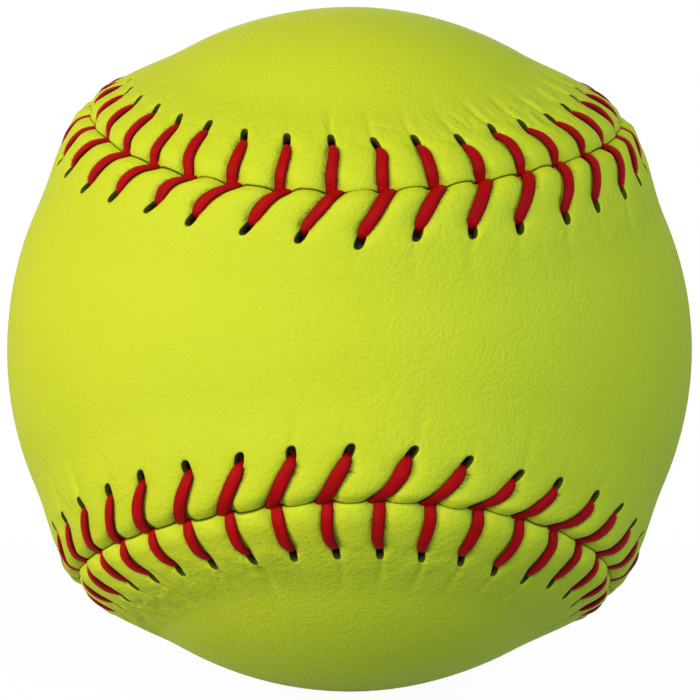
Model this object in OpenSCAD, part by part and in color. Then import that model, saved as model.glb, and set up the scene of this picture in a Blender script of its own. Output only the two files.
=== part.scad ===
// Softball with a raised, hand-laced seam. All sizes are in millimetres.
// The origin is the ball's centre and +Z is up. The waist of the front cover panel faces -Y
// and its lobes lie to either side, along X. The back panel's lobes lie above and below.

/* [Ball] */
// Circumference over the smooth cover
circumference = 279.4; // [270:0.1:310]
// Thickness of the cement coat that bonds the cover to the core
cement_t = 0.3; // [0.1:0.05:0.6]
// Gap between the core and its cement coat
film_gap = 0.05; // [0.02:0.01:0.1]

/* [Cover panels] */
// Thickness of a cover panel
cover_t = 1.4; // [1:0.1:2]
// Gap between the cement coat and a panel's inner face
seat_gap = 0.2; // [0.1:0.05:0.5]
// Width of the slit between the two panels' edges
slit_w = 0.8; // [0.7:0.05:1.2]
// Height of the raised seam over the smooth cover, as it would be on the slit if the
// panels' edges did not round down
ridge_h = 1.95; // [1.5:0.05:2.4]
// Distance from the slit to the foot of the raised seam
ridge_half_w = 11.5; // [9.5:0.5:14]
// How far the cut edge of a panel rounds down below that height
edge_drop = 0.75; // [0.4:0.05:1]
// Width of that rounded edge
edge_round_w = 2.4; // [1.6:0.1:3]

/* [Seam line] */
// Share of the second wave in the seam, which sets how narrow the panels' waists are
waist_share = 0.317; // [0.28:0.001:0.345]
// Share of the fifth harmonic in the seam, which squares the lobes
lobe_share = 0.0325; // [0:0.0025:0.05]
// Share of the sixth harmonic in the seam, which steepens it between the waists
steep_share = 0.0383; // [0:0.0025:0.06]

/* [Lacing] */
// Stitches along one eighth of the seam
eighth_stitches = 11; // [9:1:12]
// How far the holes of the front panel trail their stitch's place in the slit
front_lean = 2.75; // [2:0.05:3.5]
// The same for the holes of the back panel
back_lean = 0.9; // [0.5:0.05:1.8]
// Distance from the slit to the near edge of an awl hole
hole_near = 4.65; // [4.2:0.05:5.5]
// Length of an awl hole, away from the slit
hole_l = 2; // [1.5:0.1:2.4]
// Width of an awl hole, along the seam
hole_w = 1.3; // [1.15:0.05:1.6]

/* [Thread] */
// Width of a stitch on the raised seam
leg_w = 1.5; // [1.2:0.1:2]
// Thickness of a stitch on the raised seam
leg_t = 0.7; // [0.5:0.05:0.9]
// Width of the thread where it is pinched in an awl hole
neck_w = 0.9; // [0.6:0.05:1]
// Thickness of the thread in an awl hole
neck_t = 0.7; // [0.5:0.05:0.9]
// Width of the thread where it dives into the slit
dive_w = 0.84; // [0.6:0.02:0.9]
// Distance along the slit between the two threads of one stitch, middle to middle
dive_pitch = 1.2; // [1.1:0.05:1.5]
// Thickness of the thread where it runs under a panel
under_t = 0.6; // [0.4:0.05:0.7]
// Gap between the thread and what it lies on
thread_gap = 0.08; // [0.05:0.01:0.12]
// Gap between the thread and the panels' edges in the slit
slit_gap = 0.2; // [0.15:0.01:0.25]

/* [Colours] */
// Colour of the cover
cover_colour = "#CFDD38"; // [#CFDD38, #F4F4EE]
// Colour of the thread
thread_colour = "#C4161E"; // [#C4161E, #FFFFFF]
// Colour of the core
core_colour = "#D8C79C"; // [#D8C79C, #E9E2CC]
// Colour of the cement coat
cement_colour = "#E6DFA8"; // [#E6DFA8, #F2EFD8]

/* [Hidden] */

cover_r = circumference / (2 * PI);
cement_r = cover_r - cover_t - seat_gap;
core_r = cement_r - cement_t - film_gap;
sphere_fn = 192;

// Counts of the cover's net. A hole has two columns, a gap between holes one, and the
// smooth middle of a panel one for every two stitches.
stitch_count = 8 * eighth_stitches;
middle_count = stitch_count / 2;
half_spine = middle_count / 4;
// Longitude, in degrees, at which the middle line of a panel ends in each lobe
spine_reach = 110;
// Places of the middle rows, as shares of the way from the seam's foot to the middle line.
// The first row has a column for each stitch.
first_row_share = 0.24;
middle_row_shares = [0.5, 0.76];
// How far the underside of the raised seam runs on below the inner face, where it is cut off
underside_overrun = 1;

// The seam's length is summed over this many steps
seam_steps = 720;
step_angle = 360 / seam_steps;

function unit(v) = v / norm(v);

// Direction of the seam line from the ball's centre at the angle u of its travel. The seam
// closes after one turn of u. It crosses the front at the top for u = 0, going right.
function seam_dir(u) = unit([
    (1 - waist_share) * sin(u) + waist_share * sin(3 * u) + lobe_share * sin(5 * u),
    -2 * sqrt(waist_share * (1 - waist_share)) * cos(2 * u) - steep_share * cos(6 * u),
    (1 - waist_share) * cos(u) - waist_share * cos(3 * u) + lobe_share * cos(5 * u)
]);

function seam_step_l(i) = cover_r * norm(seam_dir((i + 1) * step_angle) - seam_dir(i * step_angle));

// Pairs of length travelled along the seam and the angle reached
seam_table = [
    for (i = 0, run = 0; i <= seam_steps; run = run + seam_step_l(i), i = i + 1)
    [run, i * step_angle]
];
seam_l = seam_table[seam_steps][0];
pitch = seam_l / stitch_count;

// Angle of travel at the length s along the seam, which may run past either end
function seam_angle(s) = lookup(s - seam_l * floor(s / seam_l), seam_table);

// Direction of the point that lies d to the front panel's side of the seam at length s
function cover_dir(s, d) =
    let (
        u = seam_angle(s),
        p = seam_dir(u),
        along = seam_dir(u + step_angle) - seam_dir(u - step_angle),
        aside = unit(cross(along, p)),
        turn = d / cover_r * 180 / PI
    )
    p * cos(turn) + aside * sin(turn);

// The same point, h above the smooth cover
function place(s, d, h) = cover_dir(s, d) * (cover_r + h);

// How much longer the line at d from the seam is than the seam itself, near s
function spread(s, d) =
    let (step_l = seam_l / seam_steps)
    norm(cover_dir(s + step_l, d) - cover_dir(s - step_l, d)) * cover_r / (2 * step_l);

// Height of the raised seam at d from the slit, before its edge rounds down
function ridge(d) = abs(d) >= ridge_half_w ? 0 : ridge_h * pow(cos(90 * d / ridge_half_w), 2);

hole_far = hole_near + hole_l;
edge_d = slit_w / 2;
crest_d = edge_d + edge_round_w;
slope_d = (crest_d + hole_near) / 2;
edge_top = ridge(edge_d) - edge_drop;
edge_bottom = edge_top - cover_t;

// A panel's outer net is a list of points in rings that follow its edge. It is described
// here for the front panel. hole_shift moves the holes along the seam.
function hole_s(k, hole_shift) = k * pitch + hole_shift;

function coarse_ring(hole_shift, d, h) = [
    for (k = [0:stitch_count - 1])
    place(hole_s(k, hole_shift) + pitch / 2, d, h)
];

function hole_ring(hole_shift, d, h) = [
    for (k = [0:stitch_count - 1], side = [-1, 1])
    let (s = hole_s(k, hole_shift))
    place(s + side * hole_w / 2 / spread(s, d), d, h)
];

// Direction of the point of the panel's middle line that the seam at length s looks to
function spine_dir(s) =
    let (reach = spine_reach * sin(seam_angle(s)))
    [sin(reach), -cos(reach), 0];

// A point of the smooth middle, at a share of the way from the seam's foot to that point
function middle_place(s, share) =
    let (foot = cover_dir(s, ridge_half_w))
    unit(foot + (spine_dir(s) - foot) * share) * cover_r;

// Number of the middle line's point, from the left lobe to the right, for column k
function spine_number(k) =
    let (turned = k <= half_spine ? k : k <= 3 * half_spine ? 2 * half_spine - k : k - middle_count)
    turned + half_spine;

// The last point is the ball's centre, which closes the net until the inner face is cut
function panel_points(hole_shift) = concat(
    coarse_ring(hole_shift, edge_d, edge_top),
    coarse_ring(hole_shift, crest_d, ridge(crest_d)),
    coarse_ring(hole_shift, slope_d, ridge(slope_d)),
    hole_ring(hole_shift, hole_near, ridge(hole_near)),
    hole_ring(hole_shift, hole_far, ridge(hole_far)),
    coarse_ring(hole_shift, ridge_half_w, 0),
    [
        for (k = [0:stitch_count - 1])
        middle_place(hole_s(k, hole_shift) + pitch / 2, first_row_share)
    ],
    [
        for (share = middle_row_shares, k = [0:middle_count - 1])
        middle_place(k * 2 * pitch, share)
    ],
    [for (i = [0:2 * half_spine]) spine_dir((i - half_spine) * 2 * pitch) * cover_r],
    coarse_ring(hole_shift, edge_d, edge_bottom),
    hole_ring(hole_shift, hole_near, ridge(hole_near) - cover_t),
    hole_ring(hole_shift, hole_far, ridge(hole_far) - cover_t),
    coarse_ring(hole_shift, ridge_half_w, -cover_t - underside_overrun),
    [[0, 0, 0]]
);

// First point of each ring in that list
out_edge = 0;
out_crest = out_edge + stitch_count;
out_slope = out_crest + stitch_count;
out_near = out_slope + stitch_count;
out_far = out_near + 2 * stitch_count;
out_foot = out_far + 2 * stitch_count;
out_first_row = out_foot + stitch_count;
out_middle = out_first_row + stitch_count;
middle_rows = len(middle_row_shares);
out_spine = out_middle + middle_rows * middle_count;
in_edge = out_spine + 2 * half_spine + 1;
in_near = in_edge + stitch_count;
in_far = in_near + 2 * stitch_count;
in_foot = in_far + 2 * stitch_count;
centre_point = in_foot + stitch_count;

// The same triangles, facing the other way
function flipped(faces) = [for (f = faces) [f[2], f[1], f[0]]];

// Two triangles for each place between two rings of n points, a nearer the slit than b
function band_faces(n, a, b) = [
    for (k = [0:n - 1])
    let (next = (k + 1) % n)
    each [[a + k, a + next, b + next], [a + k, b + next, b + k]]
];

// Three triangles for each point of a ring of n that faces a ring of 2n. lead says how far
// round the double ring starts.
function zip_faces(n, single, double, lead) = [
    let (double_n = 2 * n)
    for (k = [0:n - 1])
    let (
        next = single + (k + 1) % n,
        level = double + (2 * k + lead) % double_n,
        before = double + (2 * k + lead + double_n - 1) % double_n,
        after = double + (2 * k + lead + 1) % double_n
    )
    each [[single + k, level, before], [single + k, next, level], [next, after, level]]
];

// The cover between the awl holes, from their near edges to their far ones
function between_hole_faces(near, far) = [
    for (k = [0:stitch_count - 1])
    let (
        right = 2 * k + 1,
        left = (2 * k + 2) % (2 * stitch_count)
    )
    each [[near + right, near + left, far + left], [near + right, far + left, far + right]]
];

// The four walls of each awl hole
function hole_wall_faces() = [
    for (k = [0:stitch_count - 1])
    let (
        left = 2 * k,
        right = 2 * k + 1,
        top = [out_near + left, out_near + right, out_far + right, out_far + left],
        bottom = [in_near + left, in_near + right, in_far + right, in_far + left]
    )
    for (i = [0:3])
    let (next = (i + 1) % 4)
    each [[top[i], top[next], bottom[next]], [top[i], bottom[next], bottom[i]]]
];

// The last ring of the middle and the middle line itself, where both halves meet
function spine_faces(ring, spine) = [
    for (k = [0:middle_count - 1])
    let (
        next = (k + 1) % middle_count,
        here = spine + spine_number(k),
        there = spine + spine_number(next)
    )
    each [[ring + k, ring + next, there], [ring + k, there, here]]
];

function centre_faces() = [
    for (k = [0:stitch_count - 1])
    [in_foot + (k + 1) % stitch_count, in_foot + k, centre_point]
];

function panel_faces() = concat(
    band_faces(stitch_count, out_edge, out_crest),
    band_faces(stitch_count, out_crest, out_slope),
    zip_faces(stitch_count, out_slope, out_near, 2),
    between_hole_faces(out_near, out_far),
    flipped(zip_faces(stitch_count, out_foot, out_far, 2)),
    band_faces(stitch_count, out_foot, out_first_row),
    flipped(zip_faces(middle_count, out_middle, out_first_row, 0)),
    [
        for (row = [0:middle_rows - 2])
        let (ring = out_middle + row * middle_count)
        each band_faces(middle_count, ring, ring + middle_count)
    ],
    spine_faces(out_spine - middle_count, out_spine),
    flipped(zip_faces(stitch_count, in_edge, in_near, 2)),
    flipped(between_hole_faces(in_near, in_far)),
    zip_faces(stitch_count, in_foot, in_far, 2),
    centre_faces(),
    flipped(band_faces(stitch_count, out_edge, in_edge)),
    hole_wall_faces()
);

module cover_panel(hole_shift) {
    difference() {
        polyhedron(points = panel_points(hole_shift), faces = panel_faces(), convexity = 8);
        sphere(r = cover_r - cover_t, $fn = sphere_fn);
    }
}

// A strand is one tube of four-sided rings. At stitch k it comes up through a hole, lies over
// the raised seam, dives into the slit and runs under the other panel to that panel's next
// hole. The second strand uses the opposite hole of each stitch.
neck_d = hole_near + thread_gap + neck_t / 2;
dive_t = slit_w - 2 * slit_gap;
under_bottom = thread_gap - cover_t - seat_gap;
under_top = edge_bottom - 2 * thread_gap;
dive_h = edge_top + thread_gap;

// The panel that stitch k comes up through: 1 is the front one and -1 the back one
function leg_side(k, strand) = (k + strand) % 2 == 0 ? 1 : -1;

function leg_hole_s(k, side) = k * pitch + (side == 1 ? 0 : front_lean - back_lean);

// Place in the slit where stitch k dives. The front panel's leg leads the back panel's.
function dive_s(k, side) = k * pitch + front_lean + side * dive_pitch / 2;

// Four corners round the point at s, d and h. half_w lies along the seam, turned by slant,
// and out_d and out_h lead to the face that is outermost on the front panel.
function thread_ring(s, d, h, half_w, slant, out_d, out_h) = [
    for (corner = [[1, 1], [-1, 1], [-1, -1], [1, -1]])
    let (w = corner[0] * half_w)
    place(
        s + w * cos(slant) / spread(s, d),
        d + w * sin(slant) + corner[1] * out_d,
        h + corner[1] * out_h
    )
];

// A plain ring on the run from the slit under a panel to its hole, at a share of the way
function tail_ring(k, strand, way_share) =
    let (
        side = leg_side(k, strand),
        from_s = dive_s(k - 1, -side),
        s = from_s + (leg_hole_s(k, side) - from_s) * way_share,
        from_h = under_top - under_t / 2,
        h = from_h + (under_bottom + under_t / 2 - from_h) * way_share
    )
    thread_ring(s, side * neck_d * way_share, h, neck_w / 2, 0, 0, -side * under_t / 2);

function stitch_rings(k, strand) =
    let (
        side = leg_side(k, strand),
        hole = leg_hole_s(k, side),
        dive = dive_s(k, side),
        slant = side * atan2(dive - hole, neck_d),
        slope_s = dive + (hole - dive) * slope_d / neck_d,
        crest_s = dive + (hole - dive) * crest_d / neck_d,
        lie_h = thread_gap + leg_t / 2
    )
    concat(
        thread_ring(hole, side * neck_d, under_bottom + under_t / 2,
            neck_w / 2, 0, neck_t / 2, -side * under_t / 2),
        thread_ring(hole, side * neck_d, ridge(hole_near) + lie_h,
            neck_w / 2, 0, neck_t / 2, side * leg_t / 2),
        thread_ring(slope_s, side * slope_d, ridge(slope_d) + lie_h,
            leg_w / 2, slant, 0, side * leg_t / 2),
        thread_ring(crest_s, side * crest_d, ridge(crest_d) + lie_h,
            (leg_w + dive_w) / 4, slant, 0, side * leg_t / 2),
        thread_ring(dive, 0, dive_h + leg_t / 2,
            dive_w / 2, 0, -dive_t / 2, side * leg_t / 2),
        thread_ring(dive, 0, under_top - under_t / 2,
            dive_w / 2, 0, -dive_t / 2, side * under_t / 2)
    );

function tube_faces(rings) = concat(
    [[2, 1, 0], [3, 2, 0]],
    [
        for (i = [0:rings - 2], j = [0:3])
        let (
            a = 4 * i + j,
            b = 4 * i + (j + 1) % 4
        )
        each [[b + 4, a + 4, a], [b, b + 4, a]]
    ],
    [[4 * rings - 4, 4 * rings - 3, 4 * rings - 2], [4 * rings - 4, 4 * rings - 2, 4 * rings - 1]]
);

// Where a strand starts and ends, as shares of the way under the panel to the first hole
tail_shares = [0.65, 0.35];

module thread_strand(strand) {
    points = concat(
        tail_ring(0, strand, tail_shares[0]),
        [for (k = [0:stitch_count - 1]) each stitch_rings(k, strand)],
        tail_ring(stitch_count, strand, tail_shares[1])
    );
    polyhedron(points = points, faces = tube_faces(len(points) / 4), convexity = 8);
}

module core() {
    color(core_colour)
    sphere(r = core_r, $fn = sphere_fn);
}

module cement_coat() {
    color(cement_colour)
    difference() {
        sphere(r = cement_r, $fn = sphere_fn);
        sphere(r = cement_r - cement_t, $fn = sphere_fn);
    }
}

module front_cover_panel() {
    color(cover_colour)
    cover_panel(0);
}

// The back panel is the front one, turned half round the line between X and Z. That turn
// reverses the seam's travel, so the holes shift the other way.
module back_cover_panel() {
    color(cover_colour)
    rotate(a = 180, v = [1, 0, 1])
    cover_panel(back_lean - front_lean);
}

module first_thread_strand() {
    color(thread_colour)
    thread_strand(0);
}

module second_thread_strand() {
    color(thread_colour)
    thread_strand(1);
}

core();
cement_coat();
front_cover_panel();
back_cover_panel();
first_thread_strand();
second_thread_strand();
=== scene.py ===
import math

import bpy
import numpy as np
from bpy.props import FloatProperty, FloatVectorProperty, IntProperty, PointerProperty
from mathutils import Euler, Matrix, Vector


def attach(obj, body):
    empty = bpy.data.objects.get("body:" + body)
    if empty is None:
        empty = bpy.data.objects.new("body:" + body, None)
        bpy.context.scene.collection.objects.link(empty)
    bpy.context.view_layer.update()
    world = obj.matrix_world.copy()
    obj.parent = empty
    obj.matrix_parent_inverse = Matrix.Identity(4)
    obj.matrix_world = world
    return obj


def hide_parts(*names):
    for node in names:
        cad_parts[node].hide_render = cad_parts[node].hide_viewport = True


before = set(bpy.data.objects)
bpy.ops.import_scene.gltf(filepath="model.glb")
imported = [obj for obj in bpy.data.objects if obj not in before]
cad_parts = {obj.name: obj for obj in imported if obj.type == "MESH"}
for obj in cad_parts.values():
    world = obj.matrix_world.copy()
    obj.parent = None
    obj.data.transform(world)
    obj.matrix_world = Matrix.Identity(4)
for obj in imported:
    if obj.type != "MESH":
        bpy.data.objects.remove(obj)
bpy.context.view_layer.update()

bl_info = {
    "name": "Laced softball",
    "version": (1, 0, 0),
    "blender": (4, 5, 0),
    "location": "3D View > Sidebar > Softball",
    "description": "Dresses a softball: grained cover panels with a raised seam, and waxed thread",
    "category": "Add Mesh",
}

MM = 0.001
TAU = 2 * math.pi
SEED = 23

# The cover's net beside one stitch: places of its columns, as shares of half a stitch
COLUMN_SHARES = (0, 0.1, 0.195, 0.285, 0.375, 0.48, 0.62, 0.8, 1)
HALF_COLUMNS = len(COLUMN_SHARES) - 1
COLUMNS = 2 * HALF_COLUMNS
# Columns and rows of that net which an awl hole takes out, and where its columns start
HOLE_COLUMNS, HOLE_ROWS = 4, 5
HOLE_START = HALF_COLUMNS - HOLE_COLUMNS // 2

# Sockets of a Mix node that mixes colours
SHARE, BELOW, ABOVE, MIXED = 0, 6, 7, 2


def linear(colour):
    """Turns an sRGB hex colour into the linear values that Blender works in, and alpha."""
    shares = [int(colour[i:i + 2], 16) / 255 for i in (1, 3, 5)]
    return (*(c / 12.92 if c <= 0.04045 else ((c + 0.055) / 1.055) ** 2.4 for c in shares), 1)


def smooth(x):
    """Rises from 0 to 1 as x does, level at both ends: 3 x^2 - 2 x^3."""
    x = np.clip(x, 0, 1)
    return x * x * (3 - 2 * x)


def fade(d, start, width):
    """Falls smoothly from 1 to 0 over a width that begins at start."""
    return 1 - smooth((d - start) / width)


def bell(d, middle, width):
    """1 in the middle, falling off to both sides: e^-t^2, where t is d's share of the width."""
    return np.exp(-((d - middle) / width) ** 2)


def unit(vectors):
    """The same vectors, each brought to length one."""
    return vectors / np.linalg.norm(vectors, axis=-1, keepdims=True)


# Sizes and colours

def length(name, description, millimetres):
    """A property that holds a length."""
    return FloatProperty(name=name, description=description, default=millimetres * MM,
                         unit="LENGTH")


def share(name, description, default):
    """A property that holds a share."""
    return FloatProperty(name=name, description=description, default=default)


def tint(name, description, colour):
    """A property that holds a colour."""
    return FloatVectorProperty(name=name, description=description, size=4, subtype="COLOR",
                               default=linear(colour))


class SoftballSizes(bpy.types.PropertyGroup):
    circumference: length("Circumference", "Length round the smooth cover", 279.4)
    waist_share: share("Waist", "Share of the second wave in the seam", 0.317)
    lobe_share: share("Lobe", "Share of the fifth harmonic in the seam", 0.0325)
    steep_share: share("Steepness", "Share of the sixth harmonic in the seam", 0.0383)
    cover_t: length("Cover thickness", "Thickness of a cover panel", 1.4)
    ridge_h: length("Seam height", "Height of the raised seam under the stitches", 2.05)
    ridge_half_w: length("Seam half width", "From the slit to the foot of the raised seam", 14)
    lip_drop: length("Lip drop", "How far a panel rounds down to its cut edge", 0.68)
    lip_w: length("Lip width", "Width of that rounded lip", 1.7)
    bed_depth: length("Stitch bed depth", "How deep the stitches press into the seam", 1.1)
    puff_h: length("Pillow height", "How far the cover swells between two stitches", 0.2)
    stitches: IntProperty(
        name="Stitches", description="Stitches round the whole seam", default=88)
    front_lean: length("Front lean", "How far the front holes trail their stitch", 2.75)
    back_lean: length("Back lean", "How far the back holes trail their stitch", 0.9)
    hole_mid: length("Hole place", "From the slit to the middle of an awl hole", 5.72)
    hole_half_l: length("Hole half length", "Half the length of an awl hole", 1.02)
    hole_half_w: length("Hole half width", "Half the width of an awl hole", 0.54)


class SoftballThread(bpy.types.PropertyGroup):
    leg_half_w: length("Stitch half width", "Half the width of a stitch, across it", 0.71)
    leg_half_t: length("Stitch half thickness", "Half the thickness of a stitch", 0.29)
    dive_offset: length("Slit offset", "How far the front stitch leads the back one", 0.33)


class SoftballColours(bpy.types.PropertyGroup):
    cover: tint("Cover", "Colour of the cover", "#D2DC24")
    thread: tint("Thread", "Colour of the waxed thread", "#C80A07")
    core: tint("Core", "Colour of the foam core", "#D8C79C")
    cement: tint("Cement", "Colour of the dried latex", "#E6DFA8")


# The seam line

class Seam:
    """The closed seam line on the ball, and points placed beside it.

    At the angle u of its travel the line's direction from the ball's centre is
    x = (1 - b) sin u + b sin 3u + c sin 5u, y = -2 sqrt(b (1 - b)) cos 2u - e cos 6u,
    z = (1 - b) cos u - b cos 3u + c cos 5u, brought to length one.
    """

    # Steps in which its length is summed, and the angle over which its own way is taken
    steps = 14400
    reach = 1e-4

    def __init__(self, sizes):
        self.sizes = sizes
        self.radius = sizes.circumference / TAU
        self.angles = np.linspace(0, TAU, self.steps + 1)
        line = self.direction(self.angles)
        chords = np.linalg.norm(np.diff(line, axis=0), axis=1) * self.radius
        self.run = np.concatenate([[0], np.cumsum(chords)])
        self.length = self.run[-1]
        self.pitch = self.length / sizes.stitches

    def direction(self, u):
        """Direction of the line at the angles u, by the class's formula."""
        b, c, e = self.sizes.waist_share, self.sizes.lobe_share, self.sizes.steep_share
        return unit(np.stack([
            (1 - b) * np.sin(u) + b * np.sin(3 * u) + c * np.sin(5 * u),
            -2 * math.sqrt(b * (1 - b)) * np.cos(2 * u) - e * np.cos(6 * u),
            (1 - b) * np.cos(u) - b * np.cos(3 * u) + c * np.cos(5 * u),
        ], axis=-1))

    def angle(self, s):
        """Angle of travel at the length s along the seam."""
        return np.interp(np.mod(s, self.length), self.run, self.angles)

    def place(self, s, d, h):
        """Points s along the seam, d round the ball to its front side, h over the cover.

        p cos(d / R) + a sin(d / R), times R + h, where p is the line's direction at s and a
        is square to it and to the line.
        """
        u = self.angle(s)
        p = self.direction(u)
        along = self.direction(u + self.reach) - self.direction(u - self.reach)
        aside = unit(np.cross(along, p))
        turn = (d / self.radius)[..., None]
        return (p * np.cos(turn) + aside * np.sin(turn)) * (self.radius + h)[..., None]


class Lacing:
    """What both the cover and the thread follow: the stitches' places, and how each one
    differs a little from the next, as lacing by hand leaves them.

    A side is 1 for the front panel and -1 for the back one, k counts the stitches, x is the
    length along the seam from a stitch's middle, and d the distance from the slit.
    """

    # How much stitches differ, as a standard deviation
    spreads = {"hole_s": 0.17 * MM, "hole_d": 0.25 * MM, "hole_turn": 0.14, "bow": 0.12 * MM,
               "width": 0.045, "lift": 0.03 * MM, "puff": 0.12, "furrow": 0.6 * MM}
    # The most that a hole is off its row, the shallowest furrow, and how far stitches are
    # ahead of even spacing in the mean, and by turns more and less
    hole_d_limit, least_furrow = 0.5 * MM, 0.4 * MM
    drift_mean, drift_swing = 0.4 * MM, 0.45 * MM
    # The slit's long waves, each with its count round the seam, cosine and sine. The short
    # ones' number, least and most count, height, and the count at which that halves
    long_waves = ((0, 0.08 * MM, 0), (2, 0.12 * MM, 0.2 * MM), (4, 0.25 * MM, 0.15 * MM),
                  (6, 0, -0.6 * MM))
    short_waves, short_least, short_most, short_h, short_half = 11, 24, 190, 0.04 * MM, 54
    # A track's slope at its hole, the bend before it, and how far inside the hole's near
    # end the thread is pinched
    hole_slope, bend_w, neck_inset = 0.25, 1.5 * MM, 0.33 * MM
    # Distances from the slit at which a track is summed up
    track_table = np.linspace(0, 14 * MM, 561)
    # Fades away from the slit, by start and width, and the widths of rises and bells
    slit_fade, track_fade, hole_fade = (0, 4.6 * MM), (7 * MM, 3 * MM), (7.4 * MM, 4 * MM)
    bow_fade, bed_fade, pull_fade = (2.8 * MM, 2 * MM), (4 * MM, 4 * MM), (0, 1.8 * MM)
    both_fade, pillow_fade, lip_fade = (0, 1.6 * MM), (4.6 * MM, 2.1 * MM), (0, 1.5 * MM)
    hole_rise, bow_rise, turn_w = 4 * MM, 2 * MM, 1.5 * MM
    # A bed's shares over the seam, at the slit and at the hole, and the last two's widths
    bed_shares, bed_slit_w, bed_hole_w = (0.2, 0.45, 0.4), 2.1 * MM, 1.9 * MM
    pull_depth = 0.15 * MM
    lip_power, offset_power, pillow_power = 1.6, 1.5, 2.2
    # Where round the seam the cover gathers most, its least strain, and the front's share
    strain_share, least_strain, front_strain = 0.125, 0.2, 0.45
    # A furrow's rise, its length, its width, and what that gains per length
    furrow_rise, furrow_l, furrow_w, furrow_spread = 0.4 * MM, 6 * MM, 0.36 * MM, 0.1
    # Widths of a stitch at shares of the way to its pinch, and what a front one adds
    leg_places = np.array([-0.2, 0, 0.18, 0.4, 0.7, 0.84, 0.925, 0.99])
    leg_shares = np.array([0.7, 0.95, 0.98, 1, 1.02, 0.96, 0.85, 0.7])
    front_extra = np.array([0.1, 0.12, 0.08, 0.03, 0, 0, 0, 0])
    # A pillow's start under a stitch's edge, its reach at the slit, and what that gains over
    # what distance, then where it swells most and how wide
    pillow_inset, pillow_reach, reach_gain, reach_rise = 0.2 * MM, 1.6 * MM, 0.45 * MM, 3 * MM
    swell_mid, swell_w = 1.6 * MM, 2 * MM
    # The cut edge's rounding, and how much lower the back panel's lip is
    edge_drop, edge_w, back_drop = 0.13 * MM, 0.28 * MM, 0.12 * MM

    def __init__(self, seam, thread):
        self.seam, self.thread, self.sizes = seam, thread, seam.sizes
        count = self.sizes.stitches
        draw = np.random.default_rng(SEED)
        self.odd = {name: draw.normal(0, spread, (2, count))
                    for name, spread in self.spreads.items()}
        self.odd["hole_d"] = np.clip(self.odd["hole_d"], -self.hole_d_limit, self.hole_d_limit)
        self.odd["furrow"] = self.least_furrow + np.abs(self.odd["furrow"])
        self.odd["width"] += 1
        self.odd["puff"] += 1
        self.waves = draw.integers(self.short_least, self.short_most, self.short_waves)
        self.phases = draw.uniform(0, TAU, self.short_waves)
        self.neck_d = self.sizes.hole_mid - self.sizes.hole_half_l + self.neck_inset

    def own(self, name, side, k):
        """What a stitch has of its own, from the tables of differences."""
        return self.odd[name][0 if side > 0 else 1, k]

    def eased(self, name, side, q):
        """The same at q stitches, eased from one stitch to the next by a cosine."""
        low = np.floor(q).astype(int)
        past = (1 - np.cos(math.pi * (q - low))) / 2
        count = self.sizes.stitches
        return (self.own(name, side, low % count) * (1 - past)
                + self.own(name, side, (low + 1) % count) * past)

    def drift(self, k):
        """How far a stitch is ahead of even spacing: a sine with two waves round the seam."""
        return self.drift_mean - self.drift_swing * np.sin(2 * TAU * k / self.sizes.stitches)

    def lean(self, side):
        """How far a side's holes trail the place in the slit where their stitch dives."""
        return self.sizes.front_lean if side > 0 else self.sizes.back_lean

    def first_hole(self, side):
        """Length along the seam of the first hole of a side."""
        return self.sizes.front_lean - self.lean(side)

    def track(self, side, d):
        """How far a stitch's track leads its hole at d from the slit: the integral of a slope
        that is even over the raised seam, eases at the hole and ends beyond it."""
        straight, table = self.neck_d - self.bend_w, self.track_table
        slope = (self.lean(side) - self.hole_slope * self.bend_w / 2) \
            / (straight + self.bend_w / 2)
        slopes = (slope + (self.hole_slope - slope) * smooth((table - straight) / self.bend_w)) \
            * fade(table, *self.track_fade)
        steps = (slopes[1:] + slopes[:-1]) / 2 * np.diff(table)
        led = self.lean(side) - np.concatenate([[0], np.cumsum(steps)])
        return np.where(d < 0, self.lean(side) - slope * d, np.interp(d, table, led))

    def stray(self, s, d):
        """How far the slit strays to the front side, dying out towards the holes: a sum of
        long sines, as the cover was drawn together, and of short ones, stitch by stitch."""
        turn = np.asarray(s) / self.seam.length * TAU
        long = sum(a * np.cos(n * turn) + b * np.sin(n * turn) for n, a, b in self.long_waves)
        short = np.sin(turn[..., None] * self.waves + self.phases) \
            @ (self.short_h / (1 + self.waves / self.short_half))
        return (long + short) * fade(np.abs(d), *self.slit_fade)

    def settle(self, side, k, x, d, gap=0):
        """Where a point x beside the track of stitch k and d out from the slit comes to lie:
        its length along the seam, its distance to the front side, and that from the slit."""
        q = k + x / self.seam.pitch
        ease = smooth(d / self.hole_rise) * fade(d, *self.hole_fade)
        mid = smooth(d / self.bow_rise) * fade(d, *self.bow_fade)
        past = d - self.sizes.hole_mid
        s = (k * self.seam.pitch + self.drift(q) + x + self.first_hole(side) + self.track(side, d)
             + self.eased("hole_s", side, q) * ease + self.eased("bow", side, q) * mid
             - self.eased("hole_turn", side, q) * past * bell(past, 0, self.turn_w))
        away = d + self.eased("hole_d", side, q) * ease + gap
        return s, side * away + self.stray(s, d), away

    def bed(self, d):
        """Depth of the bed that a stitch presses into the raised seam: a share that fades out
        beyond the holes, and two bells in d, at the slit and at the awl hole."""
        d = np.abs(d)
        over, at_slit, at_hole = self.bed_shares
        return self.sizes.bed_depth * (over * fade(d, *self.bed_fade)
                                       + at_slit * bell(d, 0, self.bed_slit_w)
                                       + at_hole * bell(d, self.sizes.hole_mid, self.bed_hole_w))

    def ground(self, d):
        """Height that the stitches lie on: h cos^2 across the raised seam, less the bed that
        they press into it and the lip's rounding down to the slit."""
        sizes = self.sizes
        d = np.abs(d)
        ridge = sizes.ridge_h * np.cos(math.pi / 2 * np.minimum(d / sizes.ridge_half_w, 1)) ** 2
        rounding = np.clip(1 - d / sizes.lip_w, 0, 1) ** self.lip_power
        return ridge - self.bed(d) - sizes.lip_drop * rounding

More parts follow.
